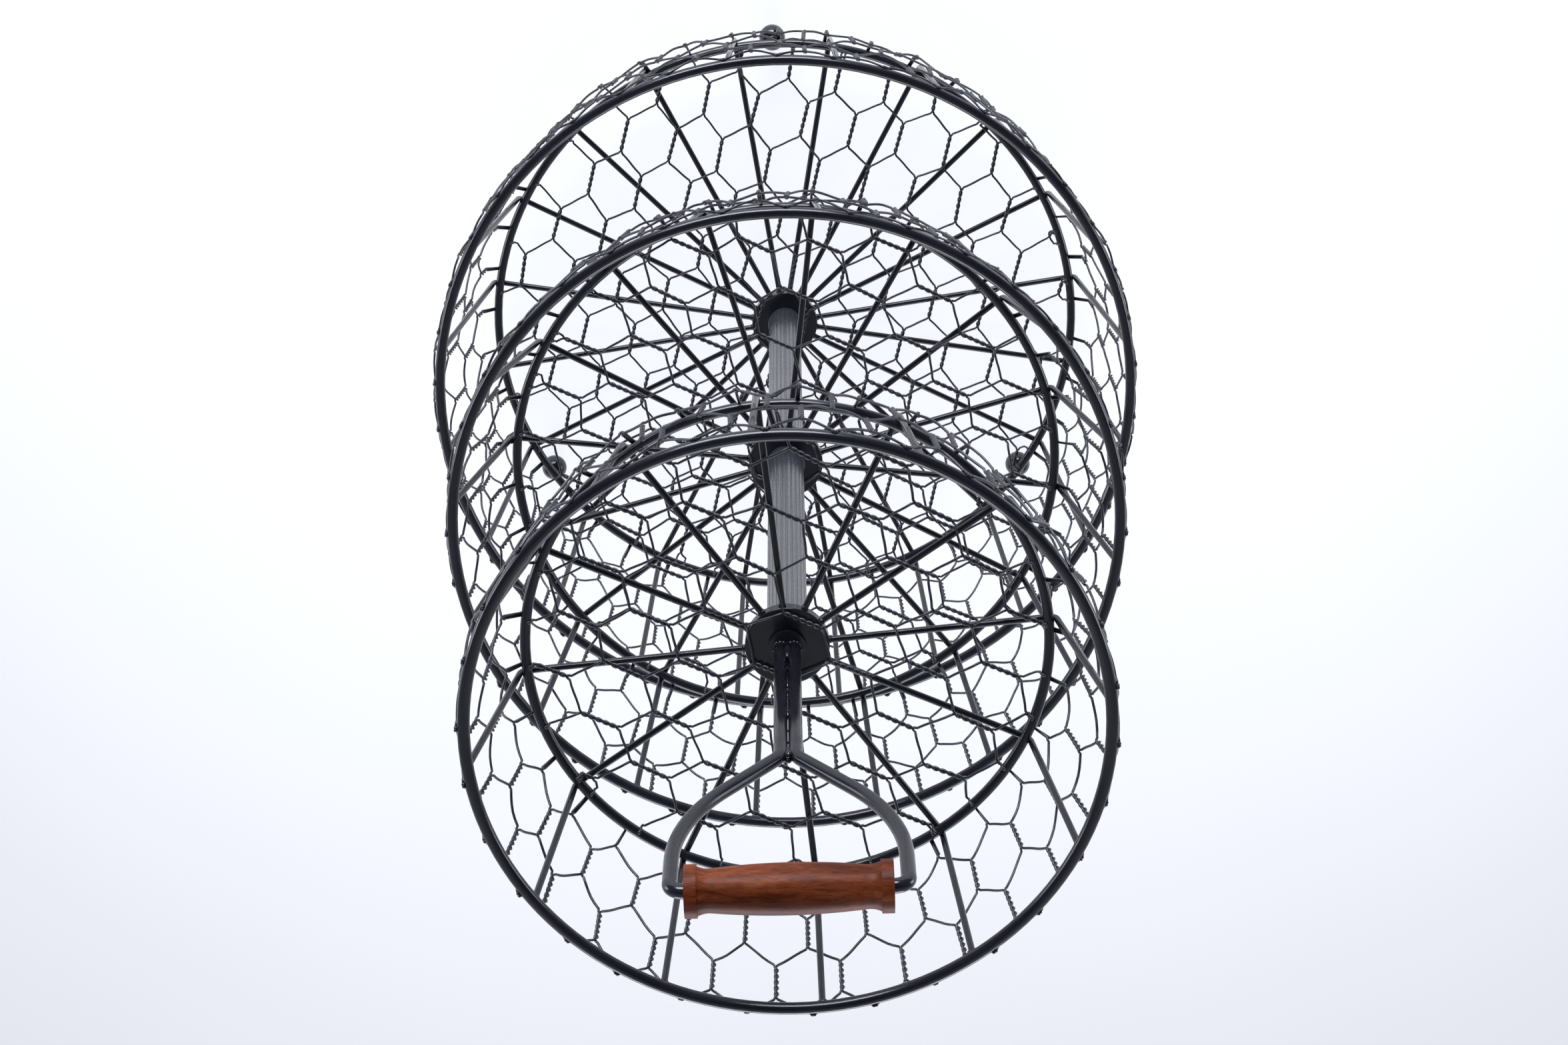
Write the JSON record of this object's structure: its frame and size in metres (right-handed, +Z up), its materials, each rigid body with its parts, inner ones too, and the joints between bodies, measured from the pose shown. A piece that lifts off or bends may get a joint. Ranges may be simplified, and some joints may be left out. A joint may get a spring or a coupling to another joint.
{
  "type": "tiered wire basket stand",
  "caption": "Three-tier round wire basket stand with hexagonal netting, a fluted centre post, ball feet and a stirrup handle with a turned wooden grip.",
  "frame": {"origin": "middle of the footprint on the floor, under the post", "axes": "+Z up along the post; +X along the handle's grip, turned 1.8 degrees from it"},
  "size_m": [0.3503, 0.3504, 0.6017],
  "materials": {
    "wire_black": "satin",
    "netting_black": "satin",
    "post_black": "satin",
    "feet_black": "gloss",
    "fixings_steel": "brushed",
    "grip_wood": "satin varnish"
  },
  "bodies": {
    "base": {"bottom_rim": "wire_black", "bottom_base_ring": "wire_black", "bottom_hub": "wire_black", "bottom_ribs_01": "wire_black", "bottom_ribs_02": "wire_black", "bottom_ribs_03": "wire_black", "bottom_ribs_04": "wire_black", "bottom_ribs_05": "wire_black", "bottom_ribs_06": "wire_black", "bottom_ribs_07": "wire_black", "bottom_ribs_08": "wire_black", "bottom_ribs_09": "wire_black", "bottom_ribs_10": "wire_black", "bottom_side_netting": "netting_black", "bottom_floor_netting": "netting_black", "foot_first": "feet_black", "foot_second": "feet_black", "foot_third": "feet_black", "lower_post_collar": "post_black", "lower_post_tube": "post_black", "lower_post_foot_plug": "fixings_steel", "lower_post_head_plug": "fixings_steel", "bottom_screw": "fixings_steel", "middle_stud": "fixings_steel"},
    "middle_basket": {"middle_rim": "wire_black", "middle_base_ring": "wire_black", "middle_hub": "wire_black", "middle_ribs_01": "wire_black", "middle_ribs_02": "wire_black", "middle_ribs_03": "wire_black", "middle_ribs_04": "wire_black", "middle_ribs_05": "wire_black", "middle_ribs_06": "wire_black", "middle_ribs_07": "wire_black", "middle_ribs_08": "wire_black", "middle_side_netting": "netting_black", "middle_floor_netting": "netting_black"},
    "upper_post": {"upper_post_collar": "post_black", "upper_post_tube": "post_black", "upper_post_foot_plug": "fixings_steel", "upper_post_head_plug": "fixings_steel"},
    "top_basket": {"top_rim": "wire_black", "top_base_ring": "wire_black", "top_hub": "wire_black", "top_ribs_01": "wire_black", "top_ribs_02": "wire_black", "top_ribs_03": "wire_black", "top_ribs_04": "wire_black", "top_ribs_05": "wire_black", "top_ribs_06": "wire_black", "top_side_netting": "netting_black", "top_floor_netting": "netting_black"},
    "handle": {"handle_stud": "fixings_steel", "handle_washer": "wire_black", "handle_wire": "wire_black"},
    "grip": {"grip": "grip_wood"}
  },
  "joints": [
    {"name": "middle_basket_turn", "type": "hinge", "parent": "base", "child": "middle_basket", "pos_m": [0, 0, 0.20643], "axis": [0, 0, 1], "continuous": true},
    {"name": "upper_post_turn", "type": "hinge", "parent": "base", "child": "upper_post", "pos_m": [0, 0, 0.22005], "axis": [0, 0, 1], "continuous": true},
    {"name": "top_basket_turn", "type": "hinge", "parent": "base", "child": "top_basket", "pos_m": [0, 0, 0.40043], "axis": [0, 0, 1], "continuous": true},
    {"name": "handle_turn", "type": "hinge", "parent": "upper_post", "child": "handle", "pos_m": [0, 0, 0.40905], "axis": [0, 0, 1], "continuous": true},
    {"name": "grip_spin", "type": "hinge", "parent": "handle", "child": "grip", "pos_m": [0, 0, 0.59223], "axis": [0.9995, 0.0314, 0], "continuous": true}
  ]
}
